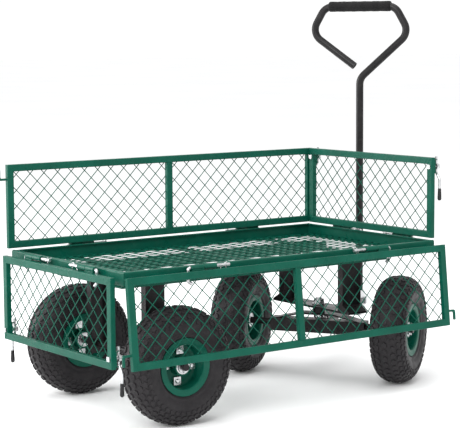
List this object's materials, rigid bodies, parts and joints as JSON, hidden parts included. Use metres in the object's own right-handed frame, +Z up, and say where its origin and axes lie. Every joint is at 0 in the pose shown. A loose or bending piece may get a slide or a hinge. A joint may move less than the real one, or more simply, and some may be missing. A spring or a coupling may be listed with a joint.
{
  "type": "garden cart",
  "caption": "Four-wheeled garden cart: mesh deck with fold-down mesh sides and gates, steered front axle, upright loop handle, air-filled tyres.",
  "frame": {"origin": "on top of the mesh floor, in the middle of the deck", "axes": "+X forward along the deck towards the handle, +Y to the cart's left, +Z up"},
  "size_m": [1.1063, 0.5748, 0.9195],
  "materials": {
    "green_enamel": "dark green powder coat, satin",
    "black_enamel": "black powder coat, satin",
    "zinc_plate": "bright zinc plate",
    "tyre_rubber": "matt rubber with a block tread",
    "tube_rubber": "smooth butyl",
    "grip_rubber": "black dipped vinyl",
    "foam": "fine closed-cell foam"
  },
  "bodies": {
    "root": {"deck_rim": "green_enamel", "deck_floor": "green_enamel", "deck_underframe": "green_enamel", "leg_bolts": "zinc_plate", "rear_legs": "black_enamel", "front_bracket": "black_enamel", "hinge_pins": "zinc_plate", "hinge_clips": "zinc_plate", "rear_axle": "black_enamel", "rear_axle_fasteners": "zinc_plate"},
    "steering": {"steering_beam": "black_enamel", "front_axle": "black_enamel", "front_axle_fasteners": "zinc_plate", "tongue": "black_enamel", "clevis": "zinc_plate", "kingpin": "zinc_plate", "kingpin_nut": "zinc_plate", "handle_bolt": "zinc_plate"},
    "handle": {"handle_tube": "black_enamel", "handle_grip": "foam"},
    "side_left": {"side_left_frame": "green_enamel", "side_left_mesh": "green_enamel"},
    "side_right": {"side_right_frame": "green_enamel", "side_right_mesh": "green_enamel"},
    "gate_front": {"gate_front_frame": "green_enamel", "gate_front_mesh": "green_enamel", "gate_front_lever_bolts": "zinc_plate"},
    "gate_rear": {"gate_rear_frame": "green_enamel", "gate_rear_mesh": "green_enamel", "gate_rear_lever_bolts": "zinc_plate"},
    "lever_front_left": {"lever_front_left": "zinc_plate", "lever_grip_front_left": "grip_rubber"},
    "wheel_front_left": {"tyre_front_left": "tyre_rubber", "inner_tube_front_left": "tube_rubber", "rim_front_left": "green_enamel", "wheel_bolts_front_left": "zinc_plate", "bearings_front_left": "zinc_plate"},
    "lever_front_right": {"lever_front_right": "zinc_plate", "lever_grip_front_right": "grip_rubber"},
    "wheel_front_right": {"tyre_front_right": "tyre_rubber", "inner_tube_front_right": "tube_rubber", "rim_front_right": "green_enamel", "wheel_bolts_front_right": "zinc_plate", "bearings_front_right": "zinc_plate"},
    "lever_rear_left": {"lever_rear_left": "zinc_plate", "lever_grip_rear_left": "grip_rubber"},
    "wheel_rear_left": {"tyre_rear_left": "tyre_rubber", "inner_tube_rear_left": "tube_rubber", "rim_rear_left": "green_enamel", "wheel_bolts_rear_left": "zinc_plate", "bearings_rear_left": "zinc_plate"},
    "lever_rear_right": {"lever_rear_right": "zinc_plate", "lever_grip_rear_right": "grip_rubber"},
    "wheel_rear_right": {"tyre_rear_right": "tyre_rubber", "inner_tube_rear_right": "tube_rubber", "rim_rear_right": "green_enamel", "wheel_bolts_rear_right": "zinc_plate", "bearings_rear_right": "zinc_plate"}
  },
  "joints": [
    {"name": "side_left_fold", "type": "hinge", "parent": "root", "child": "side_left", "pos_m": [0, 0.248, 0.0215], "axis": [-1, 0, 0], "range_deg": [0, 174]},
    {"name": "side_right_raise", "type": "hinge", "parent": "root", "child": "side_right", "pos_m": [0, -0.248, 0.0215], "axis": [-1, 0, 0], "range_deg": [0, 174]},
    {"name": "gate_front_fold", "type": "hinge", "parent": "root", "child": "gate_front", "pos_m": [0.45, 0, 0.0215], "axis": [0, 1, 0], "range_deg": [0, 30]},
    {"name": "gate_rear_raise", "type": "hinge", "parent": "root", "child": "gate_rear", "pos_m": [-0.45, 0, 0.0215], "axis": [0, 1, 0], "range_deg": [0, 180]},
    {"name": "lever_front_left_turn", "type": "hinge", "parent": "gate_front", "child": "lever_front_left", "pos_m": [0.457, 0.221, 0.1985], "axis": [-1, 0, 0], "range_deg": [0, 90]},
    {"name": "lever_front_right_turn", "type": "hinge", "parent": "gate_front", "child": "lever_front_right", "pos_m": [0.457, -0.221, 0.1985], "axis": [1, 0, 0], "range_deg": [0, 90]},
    {"name": "lever_rear_left_turn", "type": "hinge", "parent": "gate_rear", "child": "lever_rear_left", "pos_m": [-0.443, 0.221, -0.1555], "axis": [-1, 0, 0], "range_deg": [0, 90]},
    {"name": "lever_rear_right_turn", "type": "hinge", "parent": "gate_rear", "child": "lever_rear_right", "pos_m": [-0.443, -0.221, -0.1555], "axis": [1, 0, 0], "range_deg": [0, 90]},
    {"name": "steer", "type": "hinge", "parent": "root", "child": "steering", "pos_m": [0.278, 0, -0.1615], "axis": [0, 0, 1], "range_deg": [-77, 13]},
    {"name": "handle_tilt", "type": "hinge", "parent": "steering", "child": "handle", "pos_m": [0.5621, 0.17752, -0.1835], "axis": [-0.5299, 0.848, 0], "range_deg": [0, 85]},
    {"name": "wheel_rear_left_spin", "type": "hinge", "parent": "root", "child": "wheel_rear_left", "pos_m": [-0.284, 0.202, -0.1925], "axis": [0, 1, 0], "continuous": true},
    {"name": "wheel_front_left_spin", "type": "hinge", "parent": "steering", "child": "wheel_front_left", "pos_m": [0.17096, 0.17131, -0.1925], "axis": [-0.5299, 0.848, 0], "continuous": true},
    {"name": "wheel_rear_right_spin", "type": "hinge", "parent": "root", "child": "wheel_rear_right", "pos_m": [-0.284, -0.202, -0.1925], "axis": [0, 1, 0], "continuous": true},
    {"name": "wheel_front_right_spin", "type": "hinge", "parent": "steering", "child": "wheel_front_right", "pos_m": [0.38504, -0.17131, -0.1925], "axis": [-0.5299, 0.848, 0], "continuous": true}
  ]
}
